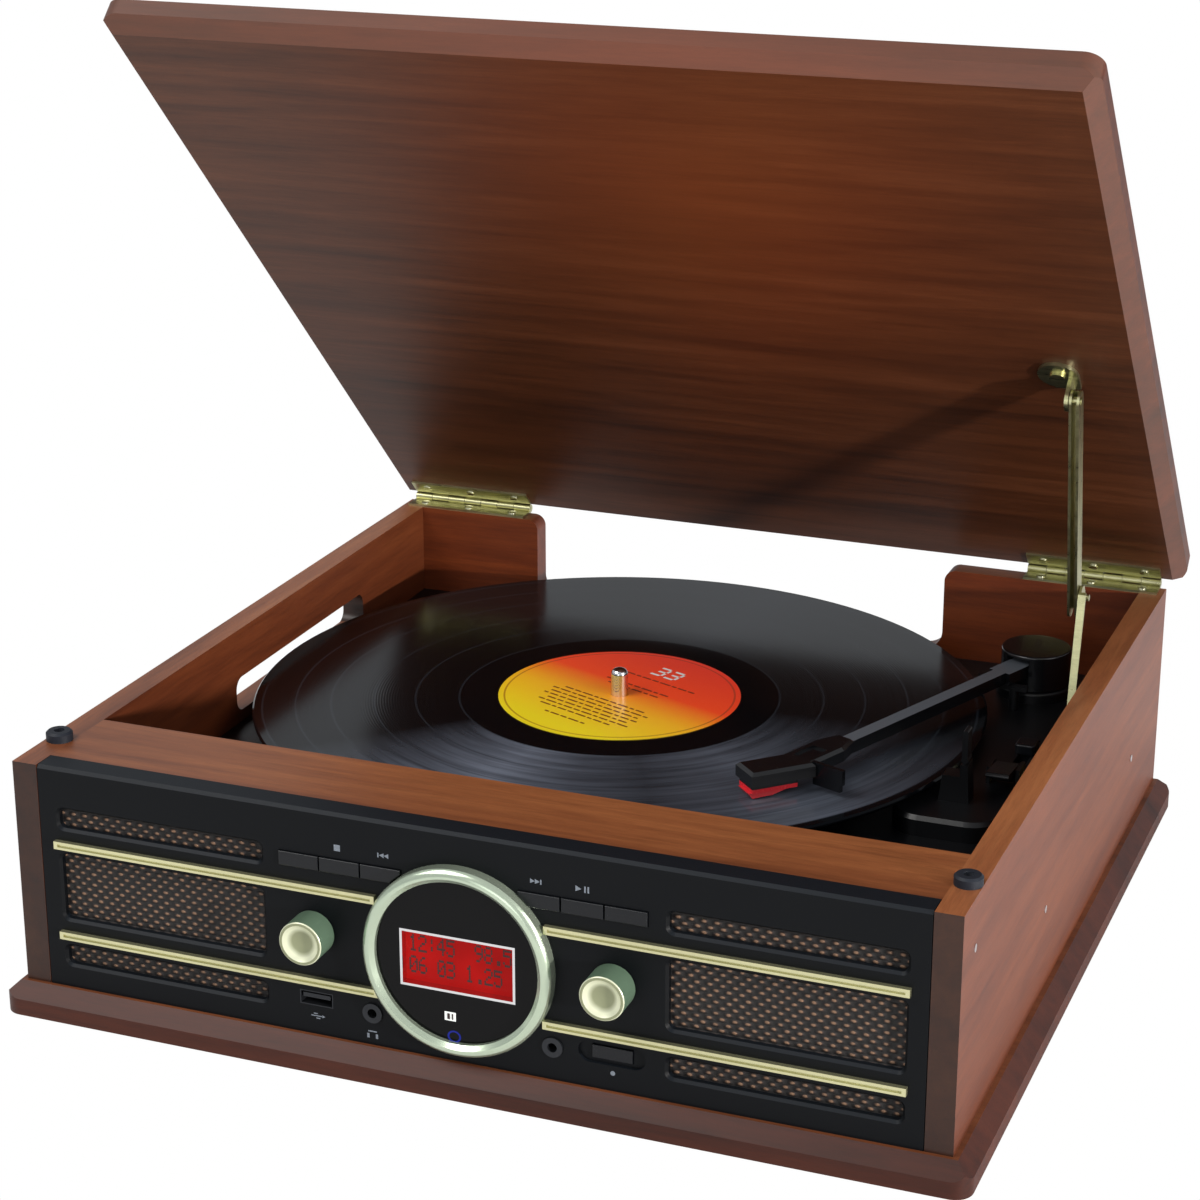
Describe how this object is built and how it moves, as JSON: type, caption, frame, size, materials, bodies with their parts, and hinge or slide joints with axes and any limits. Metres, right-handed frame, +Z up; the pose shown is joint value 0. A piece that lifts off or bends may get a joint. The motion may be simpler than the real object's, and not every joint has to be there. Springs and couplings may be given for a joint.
{
  "type": "record player",
  "caption": "Table-top record player with an open hinged lid, belt-driven platter, tonearm and front control panel.",
  "frame": {"origin": "on the floor under the centre of the cabinet", "axes": "+Z up, -Y towards the front controls, +X to the right seen from the front"},
  "size_m": [0.371, 0.37, 0.3692],
  "materials": {
    "walnut_veneer": "satin veneer, grain along the panels",
    "black_fascia": "fine matt moulding with blue tint",
    "black_plastic": "fine matt moulding",
    "deck_black": "satin moulding",
    "champagne_trim": "satin anodised champagne",
    "knob_champagne": "satin anodised, dished faces",
    "chrome": "polished",
    "steel": "brushed",
    "brass": "satin with bright edges",
    "rubber": "soft matt",
    "bumper_rubber": "soft dark blue grey",
    "speaker_cloth": "coarse dark brown weave",
    "speaker_metal": "satin black paint",
    "display_red": "back-lit display window",
    "dial_black": "smooth black disc",
    "circuit_green": "circuit board with solder mask",
    "motor_metal": "zinc-plated can",
    "mat_felt": "short felt",
    "vinyl": "grooved glossy black",
    "label_paper": "printed orange and yellow label",
    "stylus_red": "clear red plastic",
    "arm_black": "satin black with bright edge"
  },
  "bodies": {
    "cabinet": {"arm_rest": "deck_black", "back_panel": "walnut_veneer", "base_board": "walnut_veneer", "cabinet_screws": "chrome", "deck_plate": "deck_black", "dial_bezel": "champagne_trim", "dial_face": "dial_black", "display_frame": "chrome", "display_screen": "display_red", "drive_belt": "rubber", "fascia": "black_fascia", "front_baffle": "black_plastic", "front_board": "circuit_green", "front_rail": "walnut_veneer", "front_sockets": "black_plastic", "grille_cloths": "speaker_cloth", "hinge_cabinet_leaves": "brass", "left_side_panel": "walnut_veneer", "lid_bumpers": "bumper_rubber", "line_out_sockets": "brass", "loudspeakers": "speaker_metal", "main_board": "circuit_green", "motor": "motor_metal", "platter_bearing": "steel", "rear_socket_plate": "deck_black", "right_side_panel": "walnut_veneer", "rubber_feet": "rubber", "stay_foot_plate": "brass", "tonearm_base": "deck_black", "trim_strips": "champagne_trim"},
    "lid": {"lid_board": "walnut_veneer", "hinge_lid_leaves": "brass", "stay_lid_bracket": "brass", "lid_screws": "chrome"},
    "stay_upper": {"stay_upper_arm": "brass"},
    "stay_lower": {"stay_lower_arm": "brass"},
    "platter": {"platter": "steel", "platter_mat": "mat_felt", "spindle": "chrome", "record": "vinyl", "record_label": "label_paper"},
    "pulley": {"motor_pulley": "steel"},
    "arm_pivot": {"arm_turret": "arm_black"},
    "tonearm": {"arm_tube": "arm_black", "headshell": "arm_black", "cartridge": "arm_black", "stylus": "stylus_red"},
    "arm_clip": {"arm_clip": "black_plastic"},
    "cue_lever": {"cue_lever": "black_plastic"},
    "cue_bar": {"cue_bar": "black_plastic"},
    "speed_lever": {"speed_lever": "black_plastic"},
    "volume_knob": {"volume_knob": "knob_champagne"},
    "tuning_knob": {"tuning_knob": "knob_champagne"},
    "button_1": {"button_1": "black_plastic"},
    "button_2": {"button_2": "black_plastic"},
    "button_3": {"button_3": "black_plastic"},
    "button_4": {"button_4": "black_plastic"},
    "button_5": {"button_5": "black_plastic"},
    "button_6": {"button_6": "black_plastic"},
    "record_key": {"record_key": "black_plastic"}
  },
  "joints": [
    {"name": "lid_hinge", "type": "hinge", "parent": "cabinet", "child": "lid", "pos_m": [0, 0.1731, 0.11], "axis": [1, 0, 0], "range_deg": [0, 45]},
    {"name": "stay_upper_pivot", "type": "hinge", "parent": "lid", "child": "stay_upper", "pos_m": [0.1585, 0.05346, 0.21988], "axis": [1, 0, 0], "range_deg": [-2, 28.68]},
    {"name": "stay_lower_pivot", "type": "hinge", "parent": "cabinet", "child": "stay_lower", "pos_m": [0.1624, 0.05595, 0.06325], "axis": [1, 0, 0], "range_deg": [-44.99, 2]},
    {"name": "platter_bearing_turn", "type": "hinge", "parent": "cabinet", "child": "platter", "pos_m": [-0.0196, 0.033, 0.076], "axis": [0, 0, 1], "continuous": true},
    {"name": "pulley_turn", "type": "hinge", "parent": "cabinet", "child": "pulley", "pos_m": [-0.07193, -0.01933, 0.072], "axis": [0, 0, 1], "continuous": true},
    {"name": "arm_swing", "type": "hinge", "parent": "cabinet", "child": "arm_pivot", "pos_m": [0.1355, 0.115, 0.0895], "axis": [0, 0, 1], "range_deg": [-22, 20]},
    {"name": "arm_lift", "type": "hinge", "parent": "arm_pivot", "child": "tonearm", "pos_m": [0.1355, 0.115, 0.0895], "axis": [-0.9298, 0.3681, 0], "range_deg": [0, 5]},
    {"name": "arm_clip_turn", "type": "hinge", "parent": "cabinet", "child": "arm_clip", "pos_m": [0.137, -0.0077, 0.0934], "axis": [0, -1, 0], "range_deg": [0, 90]},
    {"name": "cue_lever_turn", "type": "hinge", "parent": "cabinet", "child": "cue_lever", "pos_m": [0.147, 0.016, 0.0795], "axis": [-1, 0, 0], "range_deg": [0, 41]},
    {"name": "cue_bar_rise", "type": "slide", "parent": "cabinet", "child": "cue_bar", "axis": [0, 0, 1], "range_m": [0, 0.0025]},
    {"name": "speed_lever_slide", "type": "slide", "parent": "cabinet", "child": "speed_lever", "axis": [0, 1, 0], "range_m": [-0.006, 0.006]},
    {"name": "volume_turn", "type": "hinge", "parent": "cabinet", "child": "volume_knob", "pos_m": [-0.057, -0.1725, 0.0608], "axis": [0, 1, 0], "continuous": true},
    {"name": "tuning_turn", "type": "hinge", "parent": "cabinet", "child": "tuning_knob", "pos_m": [0.057, -0.1725, 0.0608], "axis": [0, 1, 0], "continuous": true},
    {"name": "button_1_press", "type": "slide", "parent": "cabinet", "child": "button_1", "axis": [0, 1, 0], "range_m": [0, 0.001], "stiffness_N_per_m": 300},
    {"name": "button_2_press", "type": "slide", "parent": "cabinet", "child": "button_2", "axis": [0, 1, 0], "range_m": [0, 0.001], "stiffness_N_per_m": 300},
    {"name": "button_3_press", "type": "slide", "parent": "cabinet", "child": "button_3", "axis": [0, 1, 0], "range_m": [0, 0.001], "stiffness_N_per_m": 300},
    {"name": "button_4_press", "type": "slide", "parent": "cabinet", "child": "button_4", "axis": [0, 1, 0], "range_m": [0, 0.001], "stiffness_N_per_m": 300},
    {"name": "button_5_press", "type": "slide", "parent": "cabinet", "child": "button_5", "axis": [0, 1, 0], "range_m": [0, 0.001], "stiffness_N_per_m": 300},
    {"name": "button_6_press", "type": "slide", "parent": "cabinet", "child": "button_6", "axis": [0, 1, 0], "range_m": [0, 0.001], "stiffness_N_per_m": 300},
    {"name": "record_key_press", "type": "slide", "parent": "cabinet", "child": "record_key", "axis": [0, 1, 0], "range_m": [0, 0.001], "stiffness_N_per_m": 300}
  ],
  "couplings": [
    {"joint": "stay_upper_pivot", "follows": "lid_hinge", "ratio": 0.593},
    {"joint": "stay_lower_pivot", "follows": "lid_hinge", "ratio": -0.9553},
    {"joint": "pulley_turn", "follows": "platter_bearing_turn", "ratio": 17.757},
    {"joint": "cue_bar_rise", "follows": "arm_lift", "m_per_rad": 0.024},
    {"joint": "cue_lever_turn", "follows": "arm_lift", "ratio": 8}
  ]
}
